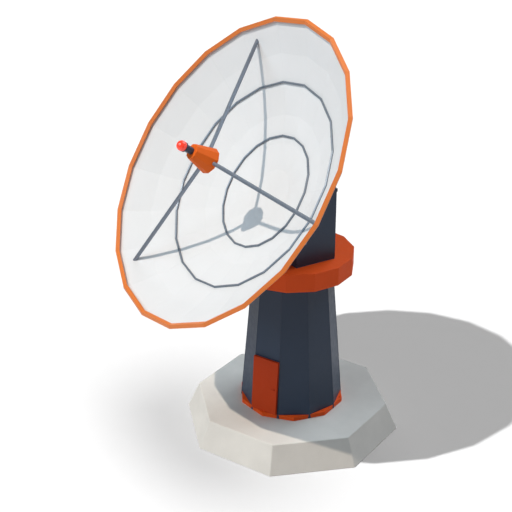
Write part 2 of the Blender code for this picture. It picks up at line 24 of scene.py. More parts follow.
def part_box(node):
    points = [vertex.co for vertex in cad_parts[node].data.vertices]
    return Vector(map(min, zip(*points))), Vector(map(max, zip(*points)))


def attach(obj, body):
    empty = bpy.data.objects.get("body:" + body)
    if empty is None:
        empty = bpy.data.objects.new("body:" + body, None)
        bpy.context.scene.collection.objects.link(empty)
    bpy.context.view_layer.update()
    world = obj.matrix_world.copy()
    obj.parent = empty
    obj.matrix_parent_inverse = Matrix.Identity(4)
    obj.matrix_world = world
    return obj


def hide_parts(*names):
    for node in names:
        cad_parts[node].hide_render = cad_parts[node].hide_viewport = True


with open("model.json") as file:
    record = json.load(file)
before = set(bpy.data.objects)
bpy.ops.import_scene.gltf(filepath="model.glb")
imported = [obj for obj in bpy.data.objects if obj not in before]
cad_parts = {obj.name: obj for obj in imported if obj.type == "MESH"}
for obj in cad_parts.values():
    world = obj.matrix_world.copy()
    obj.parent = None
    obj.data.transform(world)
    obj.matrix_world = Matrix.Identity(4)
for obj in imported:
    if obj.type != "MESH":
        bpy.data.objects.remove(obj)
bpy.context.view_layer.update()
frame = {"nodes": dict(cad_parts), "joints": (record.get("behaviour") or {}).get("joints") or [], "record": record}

bl_info = {
    "name": "Radar dish",
    "version": (1, 0, 0),
    "blender": (4, 5, 0),
    "location": "3D View > Sidebar > Radar dish",
    "description": "Finishes a steerable radar dish on its tower",
    "category": "Object",
}

SENSOR_WIDTH = 36  # of the camera, in millimetres
MILLIMETRE = 0.001
FULL_TURN = 2 * math.pi
WELD = 1e-5  # corners nearer than this are one
FLAT = math.radians(0.5)  # faces that turn less than this are one flat face
SHARP = math.radians(12)  # edges that turn more than this are rounded
SMOOTH = math.radians(32)  # sides that turn less than this are shaded smooth
FACING = 0.99  # cosine above which a face looks along a direction

# The solids' own sizes that the finer pieces are laid out by
TOWER_SIDES = 10
REST_TILT = math.radians(35)  # of the dish's axis above level
DISH_SIDES = 20
DISH_RINGS = 6
DISH_RADIUS = 5.165
DISH_DEPTH = 2.07
DISH_VERTEX = 1.06
SHELL_THICKNESS = 0.04
RIM_FORWARD = 0.045
RIM_HALF_WIDTH = 0.092
HOOP_RADII = (1.93, 3.52)
HOOP_TUBE = 0.036
HOOP_TUBE_SIDES = 6
RIB_COUNT = 10
RIB_DEPTH = 0.10
BEAM_RINGS = (2, 3, 4)
BEAM_WIDTH = 0.08
ARM_OUTER = 1.33
HUB_APOTHEM = 0.62
DOOR_GAP = 0.005  # between the shut leaf and its frame

# Proportions of the finer pieces
SEAL_SIDE = 0.086  # from the door frame's outer side to the seal
SEAL_HEAD = 0.12  # from the frame's top to the seal
SEAL_FOOT = 0.004  # from the frame's foot to the seal
SEAL_DEPTH = 0.8 * DOOR_GAP
SEAL_EDGE = 0.3 * SEAL_DEPTH  # its rounded edge
STIFFENER_HEIGHTS = (0.18, 0.5, 0.82)  # shares of the leaf's height
STIFFENER_RADII = (0.078, 0.058)  # from the middle to a corner, at the foot and at the top
STIFFENER_STRETCH = 6.6  # its length over its width
LEVER_STAND_OFF = 3.2  # times the lever's radius
CLIP_RADIUS = 1.1 * HOOP_TUBE
RIVET_SUNK = 0.1  # times the rivet's radius, as are the next two
RIVET_PROUD = 0.4
RIVET_TOP = 0.55
SPLICE_LENGTH = 2 * BEAM_WIDTH
SPLICE_MIDDLE = 0.55  # of its length, from the beam
SPLICE_BOLTS = 0.32  # of its length, from its middle
WEIGHT_BOLTS = (0.38, 0.36)  # of the slab's width and height, from its middle
HORN_WINDOW_DEPTH = 0.4  # of the recess
HORN_WINDOW_RADII = (0.9, 0.84)  # times the mouth's radius, at the back and at the front
COLLAR_STEPS = ((0.155, -0.012, 0.014), (0.135, 0.014, 0.03))  # radius, foot and top

# Kinds of shader node
NOISE = "ShaderNodeTexNoise"
CELLS = "ShaderNodeTexVoronoi"
RANGE = "ShaderNodeMapRange"
VECTOR = "ShaderNodeVectorMath"
MATH = "ShaderNodeMath"
BUMP = "ShaderNodeBump"
NOISE_SPAN = {"From Min": 0.3, "From Max": 0.7}  # where most of a noise's values lie

JOINTS = {joint["name"]: joint for joint in frame["joints"]}
BODY_OF = {
    node: body
    for body, nodes in frame["record"]["behaviour"]["bodies"].items()
    for node in nodes
}
SLOT_OF = {
    part["node"]: part["material_slot"] for part in frame["record"]["subparts"]
}

DOOR_NODES = (
    "door_leaf",
    "door_pull",
    "door_knuckle_low",
    "door_knuckle_high",
    "door_frame",
    "door_hinge_low",
    "door_hinge_high",
)
# The door and the horn have paints of their own: the door's is the brick red made deeper as painted shade, the
# horn's is it made more orange as painted sunlight
FINISH_OF = {
    **SLOT_OF,
    **dict.fromkeys(DOOR_NODES, "shaded_door_paint"),
    "feed_horn": "sunlit_horn_paint",
}


def linear(hex_colour):
    """An sRGB hex colour as linear red, green and blue."""
    channels = [int(hex_colour[start : start + 2], 16) / 255 for start in (1, 3, 5)]
    return tuple(
        value / 12.92 if value <= 0.04045 else ((value + 0.055) / 1.055) ** 2.4
        for value in channels
    )


def colour_property(name, hex_colour, description):
    return FloatVectorProperty(
        name=name,
        description=description,
        subtype="COLOR",
        size=3,
        min=0,
        max=1,
        default=linear(hex_colour),
    )


def angle_property(name, degrees, description):
    return FloatProperty(
        name=name,
        description=description,
        default=math.radians(degrees),
        subtype="ANGLE",
    )


def length_property(name, default, description):
    return FloatProperty(
        name=name, description=description, default=default, min=0, unit="LENGTH"
    )


def count_property(name, default, description):
    return IntProperty(name=name, description=description, default=default, min=1)


def lamp_group(class_name, meaning, bearing, height, width, strength, tint):
    """A property group for a far lamp, small and hard like the sun or broad and soft."""
    properties = {
        "bearing": angle_property(
            "Bearing", bearing, "Where it stands, from the door side towards +X"
        ),
        "height": angle_property("Height", height, "Its angle above level"),
        "width": angle_property("Width", width, "Angle that it fills, which softens the shadows"),
        "strength": FloatProperty(
            name="Strength", description="Its light", default=strength, min=0
        ),
        "tint": colour_property("Tint", tint, "Colour of its light"),
    }
    return type(class_name, (PropertyGroup,), {"__doc__": meaning, "__annotations__": properties})


LAMPS = {
    "sun": lamp_group(
        "RadarSun", "The hard sun on the object.", -20.6, 54.6, 0.8, 2.2, "#fff3e4"
    ),
    "front_lamp": lamp_group(
        "RadarFrontLamp", "A soft lamp around the sun.", -30, 35, 50, 1.64, "#d6f1ff"
    ),
    "back_lamp": lamp_group(
        "RadarBackLamp", "A soft lamp behind on the right.", 160, 50, 50, 2.19, "#e8f6ff"
    ),
    "floor_sun": lamp_group(
        "RadarFloorSun", "The same sun on the floor.", -20.6, 54.6, 0.8, 11.75, "#ffffff"
    ),
    "floor_top": lamp_group(
        "RadarFloorTop", "A soft lamp over the floor.", 93, 85, 34, 5.75, "#ffffff"
    ),
}


class RadarStageSettings(PropertyGroup):
    """The floor, the light and the camera."""

    camera_distance: length_property(
        "Camera distance", 35.57, "Level distance from the tower's axis"
    )
    camera_height: length_property("Camera height", 22.53, "Height above the floor")
    camera_bearing: angle_property(
        "Camera bearing", 32.65, "Where it stands, from the door side towards +X"
    )
    camera_swing: angle_property(
        "Camera swing", 1.994, "How far it looks to the left of the tower's axis"
    )
    camera_dip: angle_property("Camera dip", 24.59, "How far it looks down")
    lens: FloatProperty(
        name="Lens",
        description="Focal length on a 36 mm sensor",
        default=82.45,
        min=1,
        unit="CAMERA",
    )
    sun: PointerProperty(type=LAMPS["sun"])
    front_lamp: PointerProperty(type=LAMPS["front_lamp"])
    back_lamp: PointerProperty(type=LAMPS["back_lamp"])
    floor_sun: PointerProperty(type=LAMPS["floor_sun"])
    floor_top: PointerProperty(type=LAMPS["floor_top"])
    sky_strength: FloatProperty(
        name="Sky strength", description="Soft light from all around", default=0.1, min=0
    )
    ground_strength: FloatProperty(
        name="Ground strength",
        description="Light thrown up by the pale ground, straight from below",
        default=1.24,
        min=0,
    )
    floor_colour: colour_property(
        "Floor colour", "#7c7c7c", "The floor, which its strong lamps make pale"
    )
    floor_radius: length_property("Floor radius", 400, "Reach of the floor")


class RadarPaintSettings(PropertyGroup):
    """Colours of the paints and of the bare materials."""

    concrete: colour_property("Concrete", "#cec8c2", "Cast concrete of the plinth")
    navy: colour_property("Navy", "#2f3f56", "Satin paint of the tower and fork")
    red: colour_property("Brick red", "#f0571a", "Enamel of the ring and housing")
    # Painted shade: the brick red made deeper for the door and its frame, which stand in the dish's shadow
    door_red: colour_property("Door red", "#cc3f10", "Enamel of the door and its frame")
    orange: colour_property("Orange", "#dc7631", "Enamel of the rim tube")
    white: colour_property("White", "#dbdadc", "Matt paint of the reflector")
    # Painted sunlight: the brick red made more orange for the sunlit horn
    horn: colour_property("Burnt orange", "#e76721", "Enamel of the feed horn")
    slate: colour_property("Slate", "#7a838f", "Graphite paint of the hoops")
    grey: colour_property("Grey", "#848d9b", "Galvanised tube of the struts")
    steel: colour_property("Bare steel", "#8e8f91", "Machined steel")
    beacon: colour_property("Beacon", "#f4402c", "Moulded lens of the beacon")
    rubber: colour_property("Rubber", "#1c1c1e", "Door seal")


class RadarDetailSettings(PropertyGroup):
    """Sizes of what is finer than the solids."""

    concrete_arris: length_property("Concrete arris", 0.018, "Chamfer of the plinth")
    plate_edge: length_property("Plate edge", 0.006, "Rounded edge of heavy plate")
    sheet_edge: length_property("Sheet edge", 0.003, "Rounded edge of light plate")
    weld_radius: length_property("Weld bead", 0.007, "Radius of a weld bead")
    bolt_size: length_property("Bolt", 0.036, "Width of a bolt head across its flats")
    small_bolt: length_property("Small bolt", 0.024, "Width of a small bolt head")
    anchor_radius: length_property(
        "Anchor circle", 1.742, "Distance of the anchor bolts from the tower's axis"
    )
    housing_bolts: count_property("Housing bolts", 28, "Bolts around the housing's underside")
    cover_radius: length_property("Bearing cover", 0.25, "Radius of the cover at a trunnion")
    hatch_radius: length_property("Hub cover", 0.24, "Radius of the covers on the hub")
    hatch_height: length_property(
        "Hub cover height", 0.46, "Distance of the hub's covers from its back"
    )
    cover_height: length_property("Cover plate", 0.012, "Thickness of a bolted cover's foot")
    cover_bolts: count_property("Cover bolts", 8, "Bolts in a round cover")
    seal_width: length_property("Seal width", 0.014, "Width of the door's rubber seal")
    stiffener_depth: length_property(
        "Stiffener", 0.022, "Depth of the pressings inside the door"
    )
    lever_radius: length_property("Lever radius", 0.009, "Radius of the door's lever")
    lever_length: length_property("Lever length", 0.12, "Length of the door's lever")
    rivet_radius: length_property("Rivet", 0.007, "Radius of a rivet head in the reflector")
    rivet_pitch: length_property("Rivet pitch", 0.28, "Spacing of the rivets along a seam")
    rivet_inset: length_property("Rivet inset", 0.028, "Distance of the rivets from a seam")
    clip_width: length_property("Hoop clip", 0.034, "Width of the bands that hold the hoops")
    splice_width: length_property("Splice width", 0.046, "Width of the plates on the ribs")
    splice_thickness: length_property(
        "Splice plate", 0.008, "Thickness of the plates on the ribs"
    )
    horn_lip: length_property("Horn lip", 0.024, "Width of the lip around the horn's mouth")
    horn_recess: length_property(
        "Horn recess", 0.03, "Depth of the horn's mouth over its window"
    )
    weight_plates: count_property("Weight plates", 5, "Steel slabs in the counterweight")


def add_node(material, kind, values=None, links=None, output=0):
    """Adds a node with its settings, fixed inputs and links, and gives one of its outputs."""
    tree = material.node_tree
    node = tree.nodes.new(kind)
    for name, value in (values or {}).items():
        if hasattr(node, name):
            setattr(node, name, value)
        else:
            node.inputs[name].default_value = value
    for name, socket in (links or {}).items():
        tree.links.new(socket, node.inputs[name])
    return node.outputs[output]


def new_material(name, roughness, metallic=0.0, coat=0.0):
    """A named material, its shader and a link to the object's own coordinates."""
    material = bpy.data.materials.new(name)
    material.use_nodes = True
    shader = material.node_tree.nodes["Principled BSDF"]
    shader.inputs["Roughness"].default_value = roughness
    shader.inputs["Metallic"].default_value = metallic
    shader.inputs["Coat Weight"].default_value = coat
    place = add_node(material, "ShaderNodeTexCoord", output="Object")
    return material, shader, {"Vector": place}


def join_shader(material, shader, colour, shade, rough, relief):
    """Gives a shader its colour, made lighter and darker by a shade, its roughness and relief."""
    tinted = {"operation": "SCALE", "Vector": colour}
    links = {
        "Base Color": add_node(material, VECTOR, tinted, {"Scale": shade}),
        "Roughness": rough,
        "Normal": relief,
    }
    for name, socket in links.items():
        material.node_tree.links.new(socket, shader.inputs[name])
    return material


def join_pattern(material, shader, colour, pattern, tones, roughs, depth_mm, strength):
    """Lets one noise change a shader's colour and roughness between two values, and its relief."""
    spans = ({**NOISE_SPAN, "To Min": low, "To Max": high} for low, high in (tones, roughs))
    shade, rough = (add_node(material, RANGE, span, {"Value": pattern}) for span in spans)
    raised = {"Distance": depth_mm * MILLIMETRE, "Strength": strength}
    relief = add_node(material, BUMP, raised, {"Height": pattern})
    return join_shader(material, shader, colour, shade, rough, relief)


def repeats(size_mm):
    """The scale of a pattern whose patches are this many millimetres across."""
    return 1 / (size_mm * MILLIMETRE)


def cast_concrete(paints):
    """Steel-formed concrete: pale, dry and matt, clouded, with sand grain and a few air pores."""
    material, shader, place = new_material("cast_concrete", 0.88)
    clouds = add_node(material, NOISE, {"Scale": repeats(900), "Detail": 4}, place)
    # Sand grain is 1 to 4 mm across, drawn at 14 mm so that it shows
    sand = {"Scale": repeats(14), "Detail": 6, "Roughness": 0.65}
    grain = add_node(material, NOISE, sand, place)
    # The pores lie about 85 mm apart
    pores = add_node(material, CELLS, {"Scale": repeats(85)}, place, "Distance")
    shallow = {"From Min": 0.05, "From Max": 0.12}
    pits = add_node(material, RANGE, shallow, {"Value": pores})
    cloudy = {**NOISE_SPAN, "To Min": 0.95, "To Max": 1.04}
    grainy = {**NOISE_SPAN, "To Min": 0.96, "To Max": 1.03}
    tones = {
        0: add_node(material, RANGE, cloudy, {"Value": clouds}),
        1: add_node(material, RANGE, grainy, {"Value": grain}),
    }
    tone = add_node(material, MATH, {"operation": "MULTIPLY"}, tones)
    dry = {**NOISE_SPAN, "To Min": 0.82, "To Max": 0.94}
    sandy = {"Distance": 1.2 * MILLIMETRE, "Strength": 0.5}
    pitted = {"Distance": 2 * MILLIMETRE, "Strength": 0.6}
    relief = add_node(material, BUMP, sandy, {"Height": grain})
    relief = add_node(material, BUMP, pitted, {"Height": pits, "Normal": relief})
    rough = add_node(material, RANGE, dry, {"Value": grain})
    return join_shader(material, shader, paints.concrete, tone, rough, relief)


def painted_steel(name, colour, roughness, tone=0.03, wave_mm=0.9, gloss=0.5, metallic=0.0):
    """Paint sprayed on rolled plate: orange peel, a faint wave and small changes of gloss."""
    material, shader, place = new_material(name, roughness, metallic)
    shader.inputs["Specular IOR Level"].default_value = gloss
    clouds = add_node(material, NOISE, {"Scale": repeats(1100), "Detail": 3}, place)
    patches = add_node(material, NOISE, {"Scale": repeats(160), "Detail": 4}, place)
    wave = add_node(material, NOISE, {"Scale": repeats(520), "Detail": 1}, place)
    # Orange peel is 2 to 3 mm across, drawn at 9 mm so that it shows
    peel = add_node(material, NOISE, {"Scale": repeats(9), "Detail": 2}, place)
    cloudy = {**NOISE_SPAN, "To Min": 1 - tone, "To Max": 1 + tone}
    patchy = {**NOISE_SPAN, "To Min": roughness - 0.05, "To Max": roughness + 0.06}
    wavy = {"Distance": wave_mm * MILLIMETRE, "Strength": 0.5}
    peeled = {"Distance": 0.15 * MILLIMETRE, "Strength": 0.35}
    relief = add_node(material, BUMP, wavy, {"Height": wave})
    relief = add_node(material, BUMP, peeled, {"Height": peel, "Normal": relief})
    shade = add_node(material, RANGE, cloudy, {"Value": clouds})
    rough = add_node(material, RANGE, patchy, {"Value": patches})
    return join_shader(material, shader, colour, shade, rough, relief)


def navy_satin_paint(paints):
    """Two-pack satin paint, dark blue-grey, with soft wide highlights on the leaning plates."""
    return painted_steel("navy_satin_paint", paints.navy, 0.42, wave_mm=0.8)


def brick_red_enamel(paints):
    """Brushing enamel over primer, brick red, its gloss gone chalky in the weather."""
    return painted_steel("brick_red_enamel", paints.red, 0.55, gloss=0.2)


def shaded_red_enamel(paints):
    """The door's enamel, brushed on, deeper than the housing's and as chalky."""
    return painted_steel("shaded_red_enamel", paints.door_red, 0.58, wave_mm=0.5, gloss=0.2)


def sunlit_orange_enamel(paints):
    """The horn's enamel, redder than the rim's: deep in the shade and orange in the sun."""
    return painted_steel("sunlit_orange_enamel", paints.horn, 0.5, 0.02, 0.3, gloss=0.12)


def orange_enamel(paints):
    """Sprayed orange enamel, satin."""
    return painted_steel("orange_enamel", paints.orange, 0.45, tone=0.02)


def matt_white_paint(paints):
    """Diffusing matt white paint, which scatters sunlight so that it can't heat the feed."""
    return painted_steel("matt_white_paint", paints.white, 0.72, 0.012, 0.5)


def graphite_metallic_paint(paints):
    """Graphite paint with metal flake: pale where it faces the sun, dark where it turns away."""
    return painted_steel(
        "graphite_metallic_paint", paints.slate, 0.48, wave_mm=0.2, metallic=0.5
    )


def galvanised_tube(paints):
    """Hot-dip galvanised steel, weathered: dull grey with crystals of slightly other greys."""
    material, shader, place = new_material("galvanised_tube", 0.4, 0.7)
    # Spangle is 8 to 15 mm across, drawn at 26 mm so that it shows
    spangle = add_node(material, CELLS, {"Scale": repeats(26)}, place, "Color")
    value = add_node(material, "ShaderNodeSeparateColor", {}, {"Color": spangle}, "Red")
    dust = add_node(material, NOISE, {"Scale": repeats(60), "Detail": 4}, place)
    greys = {"To Min": 0.92, "To Max": 1.08}
    dusty = {**NOISE_SPAN, "To Min": 0.34, "To Max": 0.48}
    dulled = {"Distance": 0.4 * MILLIMETRE, "Strength": 0.4}
    shade = add_node(material, RANGE, greys, {"Value": value})
    rough = add_node(material, RANGE, dusty, {"Value": dust})
    relief = add_node(material, BUMP, dulled, {"Height": dust})
    return join_shader(material, shader, paints.grey, shade, rough, relief)


def machined_steel(paints):
    """Turned bearing steel under oil: fine level tool marks and a soft sheen."""
    material, shader, place = new_material("machined_steel", 0.34, 1.0)
    # Tool marks are under 1 mm apart; 70 mm patches are squeezed to about 1.2 mm
    squeeze = {"Scale": (1.0, 1.0, 60.0)}
    squeezed = {"Vector": add_node(material, "ShaderNodeMapping", squeeze, place)}
    marks = add_node(material, NOISE, {"Scale": repeats(70), "Detail": 4}, squeezed)
    tones, roughs = (0.94, 1.05), (0.28, 0.42)
    return join_pattern(material, shader, paints.steel, marks, tones, roughs, 0.12, 0.3)


def beacon_lens(paints):
    """Moulded red polycarbonate, lit from inside: clear gloss over a saturated body."""
    material, shader, place = new_material("beacon_lens", 0.22, 0.0, 0.4)
    shader.inputs["Emission Color"].default_value = (*paints.beacon, 1.0)
    shader.inputs["Emission Strength"].default_value = 0.35
    ripple = add_node(material, NOISE, {"Scale": repeats(45), "Detail": 1}, place)
    tones, roughs = (0.95, 1.05), (0.18, 0.27)
    return join_pattern(material, shader, paints.beacon, ripple, tones, roughs, 0.3, 0.3)


def seal_rubber(paints):
    """Extruded black rubber, matt, with a fine bloom."""
    material, shader, place = new_material("seal_rubber", 0.75)
    bloom = add_node(material, NOISE, {"Scale": repeats(25), "Detail": 4}, place)
    tones, roughs = (0.85, 1.15), (0.68, 0.82)
    return join_pattern(material, shader, paints.rubber, bloom, tones, roughs, 0.2, 0.3)


FINISHES = {
    "concrete": cast_concrete,
    "navy_paint": navy_satin_paint,
    "red_paint": brick_red_enamel,
    "orange_paint": orange_enamel,
    "white_paint": matt_white_paint,
    "slate_paint": graphite_metallic_paint,
    "sunlit_horn_paint": sunlit_orange_enamel,
    "shaded_door_paint": shaded_red_enamel,
    "grey_steel": galvanised_tube,
    "bare_steel": machined_steel,
    "beacon_red": beacon_lens,
    "seal_rubber": seal_rubber,
}


def finish(context, paint):
    """The material of a finish, made once."""
    make = FINISHES[paint]
    return bpy.data.materials.get(make.__name__) or make(context.scene.radar_paints)


def paint_nodes(context, *names):
    """Gives solids that show as they are their own finish."""
    for name in names:
        for slot in frame["nodes"][name].material_slots:
            slot.material = finish(context, FINISH_OF[name])


def add_piece(context, name, bm, paint, body, smooth=False):
    """A finished piece that moves with a body."""
    bmesh.ops.remove_doubles(bm, verts=bm.verts, dist=WELD)
    bmesh.ops.recalc_face_normals(bm, faces=bm.faces)
    mesh = bpy.data.meshes.new(name)
    bm.to_mesh(mesh)
    bm.free()
    mesh.materials.append(finish(context, paint))
    if smooth:
        mesh.shade_smooth()
        mesh.set_sharp_from_angle(angle=SMOOTH)
    piece = bpy.data.objects.new(name, mesh)
    context.scene.collection.objects.link(piece)
    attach(piece, body)
    return piece


def solid_shape(node):
    """A solid's mesh with its loose triangles joined into whole flat faces."""
    bm = bmesh.new()
    bm.from_mesh(frame["nodes"][node].data)
    bmesh.ops.remove_doubles(bm, verts=bm.verts, dist=WELD)
    bmesh.ops.dissolve_limit(
        bm,
        angle_limit=FLAT,
        use_dissolve_boundaries=False,
        verts=bm.verts,
        edges=bm.edges,
    )
    return bm


def soften_edges(bm, width, segments=2):
    """Rounds the sharp edges."""
    sharp = [
        edge for edge in bm.edges if edge.is_manifold and edge.calc_face_angle() > SHARP
    ]
    bmesh.ops.bevel(
        bm,
        geom=sharp,
        offset=width,
        offset_type="OFFSET",
        affect="EDGES",
        segments=segments,
        profile=0.5,
        material=-1,
        clamp_overlap=True,
    )


def soften_nodes(context, width, *names, segments=2):
    """Stands a piece with rounded edges in the place of each solid."""
    for name in names:
        bm = solid_shape(name)
        soften_edges(bm, width, segments)
        piece = add_piece(context, f"{name}_finished", bm, FINISH_OF[name], BODY_OF[name])
        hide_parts(name)


def place_on(point, outward, along=None):
    """A frame at a point whose +Z is an outward direction."""
    axis = Vector(outward).normalized()
    side = Vector(along) if along is not None else axis.orthogonal()
    side = (side - axis * side.dot(axis)).normalized()
    turn = Matrix((side, axis.cross(side), axis)).transposed().to_4x4()
    return Matrix.Translation(point) @ turn


def add_round(bm, place, sides, radii, low, high):
    """A closed disc, cone or prism along a frame's +Z, with a radius at each end."""
    bmesh.ops.create_cone(
        bm,
        cap_ends=True,
        segments=sides,
        radius1=radii[0],
        radius2=radii[1],
        depth=high - low,
        matrix=place @ Matrix.Translation((0, 0, (low + high) / 2)),
    )


def add_block(bm, place, size):
    """A block around a frame's origin."""
    bmesh.ops.create_cube(bm, size=1, matrix=place @ Matrix.Diagonal((*size, 1)))


def add_bolt(bm, place, across_flats):
    """A washer and a hexagon head with a chamfered crown, standing on a face."""
    washer_radius = 1.05 * across_flats
    washer_height = 0.1 * across_flats
    head_radius = across_flats / math.sqrt(3)
    head_height = 0.62 * across_flats
    crown_radii = (0.96 * head_radius, 0.8 * head_radius)
    # The head starts inside the washer, and its crown inside the head
    add_round(bm, place, 24, (washer_radius, washer_radius), 0, washer_height)
    add_round(bm, place, 6, (head_radius, head_radius), 0.5 * washer_height, head_height)
    add_round(bm, place, 6, crown_radii, 0.95 * head_height, 1.1 * head_height)


def add_bolt_ring(bm, radius, height, upward, numbers, share, across_flats):
    """Bolts on a level face around the tower's axis, from the door side on, a share apart."""
    for number in numbers:
        point = bearing_direction(number * share) * radius
        point.z = height
        add_bolt(bm, place_on(point, (0, 0, upward)), across_flats)


def add_bead(bm, start, end, radius, sides=8):
    """A straight weld bead or rod between two points."""
    run = Vector(end) - Vector(start)
    add_round(bm, place_on(start, run), sides, (radius, radius), 0, run.length)


def bearing_direction(bearing):
    """A level direction, turned from the door side towards +X."""
    return Vector((math.sin(bearing), -math.cos(bearing), 0))


HEAD_PIVOT = Vector(JOINTS["elevation"]["pos_m"])
LATERAL = -Vector(JOINTS["elevation"]["axis"]).normalized()
AHEAD = Vector((LATERAL.y, -LATERAL.x, 0))
DISH_AXIS = AHEAD * math.cos(REST_TILT) + Vector((0, 0, math.sin(REST_TILT)))
HEAD_FRAME = place_on((0, 0, 0), (0, 0, 1), LATERAL)
DISH_FRAME = place_on(HEAD_PIVOT, DISH_AXIS, LATERAL)
HINGE_POINT = Vector(JOINTS["door_hinge"]["pos_m"])
DOOR_FRAME = place_on((0, *HINGE_POINT.yz), -Vector(JOINTS["door_hinge"]["axis"]), (1, 0, 0))


def box_in(place, name):
    """A solid's lowest and highest corners in a frame that leans or is turned."""
    into = place.inverted()
    corners = [into @ vertex.co for vertex in frame["nodes"][name].data.vertices]
    low = Vector([min(corner[axis] for corner in corners) for axis in range(3)])
    high = Vector([max(corner[axis] for corner in corners) for axis in range(3)])
    return low, high


def shell_point(ring, sector, behind=0.0):
    """A corner of the reflector's facets in the dish's frame, or a point straight behind it."""
    radius = DISH_RADIUS * ring / DISH_RINGS
    height = DISH_VERTEX + DISH_DEPTH * (ring / DISH_RINGS) ** 2
    slope = 2 * DISH_DEPTH * ring / DISH_RINGS / DISH_RADIUS
    height -= behind * math.hypot(1, slope)
    turn = sector * FULL_TURN / DISH_SIDES
    return Vector((radius * math.sin(turn), radius * math.cos(turn), height))


def add_cover(bm, place, radius, details):
    """A round stepped cover plate with a ring of bolts, standing on a face."""
    foot, top = details.cover_height, 1.8 * details.cover_height
    chamfer = 0.3 * details.cover_height
    step_radius = 0.62 * radius
    bolt_circle = 0.81 * radius
    add_round(bm, place, 48, (radius, radius - chamfer), 0, foot)
    add_round(bm, place, 48, (step_radius, step_radius - chamfer), foot, top)
    for index in range(details.cover_bolts):
        turn = Matrix.Rotation((index + 0.5) * FULL_TURN / details.cover_bolts, 4, "Z")
        seat = place @ turn @ Matrix.Translation((bolt_circle, 0, foot))
        add_bolt(bm, seat, details.small_bolt)


class RADAR_OT_stage(Operator):
    """Lays the floor, sets the light and places the camera."""

    bl_idname = "radar.stage"
    bl_label = "Stage"

    def execute(self, context):
        stage = context.scene.radar_stage
        context.scene.view_settings.view_transform = "Standard"
        floor = self.lay_floor(context, stage)
        self.light_sky(context, stage)
        for name in LAMPS:
            self.hang_lamp(context, name, getattr(stage, name), floor)
        self.place_camera(context, stage)
        return {"FINISHED"}

    def lay_floor(self, context, stage):
        bm = bmesh.new()
        bmesh.ops.create_circle(bm, cap_ends=True, segments=64, radius=stage.floor_radius)
        mesh = bpy.data.meshes.new("studio_floor")
        bm.to_mesh(mesh)
        bm.free()
        material, shader, place = new_material("studio_floor", 0.9)
        dust = add_node(material, NOISE, {"Scale": repeats(700), "Detail": 2}, place)
        dusty = {**NOISE_SPAN, "To Min": 0.995, "To Max": 1.005}
        shade = add_node(material, RANGE, dusty, {"Value": dust})
        tinted = {"operation": "SCALE", "Vector": stage.floor_colour}
        colour = add_node(material, VECTOR, tinted, {"Scale": shade})
        material.node_tree.links.new(colour, shader.inputs["Base Color"])
        mesh.materials.append(material)
        floor = bpy.data.objects.new("studio_floor", mesh)
        context.scene.collection.objects.link(floor)
        # The floor sends no light back up, which keeps the undersides dark
        floor.visible_diffuse = False
        floor.visible_glossy = False
        return floor

    def light_sky(self, context, stage):
        """An even sky that looks white, and a lower half that grows brighter downwards."""
        world = bpy.data.worlds.new("studio_sky")
        world.use_nodes = True
        context.scene.world = world
        direction = add_node(world, "ShaderNodeTexCoord", output="Generated")
        height = add_node(world, "ShaderNodeSeparateXYZ", {}, {"Vector": direction}, "Z")
        downwards = {
            "From Min": 0.0,
            "From Max": -1.0,
            "To Min": stage.sky_strength,
            "To Max": stage.sky_strength + stage.ground_strength,
        }
        glow = add_node(world, RANGE, downwards, {"Value": height})
        # The backdrop looks as white as the floor, and gives no light for it
        seen = add_node(world, "ShaderNodeLightPath", output="Is Camera Ray")
        strength = add_node(world, MATH, {"operation": "MAXIMUM"}, {0: glow, 1: seen})
        background = world.node_tree.nodes["Background"]
        background.inputs["Color"].default_value = (1.0, 1.0, 1.0, 1.0)
        world.node_tree.links.new(strength, background.inputs["Strength"])

    def hang_lamp(self, context, name, lamp, floor):
        light = bpy.data.lights.new(name, "SUN")
        light.energy = lamp.strength
        light.color = lamp.tint
        light.angle = lamp.width
        level = bearing_direction(lamp.bearing) * math.cos(lamp.height)
        towards = level + Vector((0, 0, math.sin(lamp.height)))
        hung = bpy.data.objects.new(name, light)
        hung.rotation_euler = towards.to_track_quat("Z", "Y").to_euler()
        hung.location = towards * context.scene.radar_stage.camera_distance
        context.scene.collection.objects.link(hung)
        # The floor has lamps of its own, so that it stays white and its shadows stay deep
        receivers = bpy.data.collections.new(f"{name}_receivers")
        receivers.objects.link(floor)
        hung.light_linking.receiver_collection = receivers
        state = "INCLUDE" if name.startswith("floor") else "EXCLUDE"
        receivers.collection_objects[0].light_linking.link_state = state

    def place_camera(self, context, stage):
        camera_data = bpy.data.cameras.new("camera")
        camera_data.sensor_width = SENSOR_WIDTH
        camera_data.lens = stage.lens
        camera_data.clip_end = 3 * stage.floor_radius  # well past the floor's edge
        camera = bpy.data.objects.new("camera", camera_data)
        camera.location = bearing_direction(stage.camera_bearing) * stage.camera_distance
        camera.location.z = stage.camera_height
        level = math.radians(90)
        turn = stage.camera_bearing + stage.camera_swing
        camera.rotation_euler = (level - stage.camera_dip, 0, turn)
        context.scene.collection.objects.link(camera)
        context.scene.camera = camera


class RADAR_OT_plinth(Operator):
    """Casts the concrete plinth, with chamfered arrises."""

    bl_idname = "radar.plinth"
    bl_label = "Plinth"

    def execute(self, context):
        details = context.scene.radar_details
        soften_nodes(context, details.concrete_arris, "plinth", segments=1)
        return {"FINISHED"}


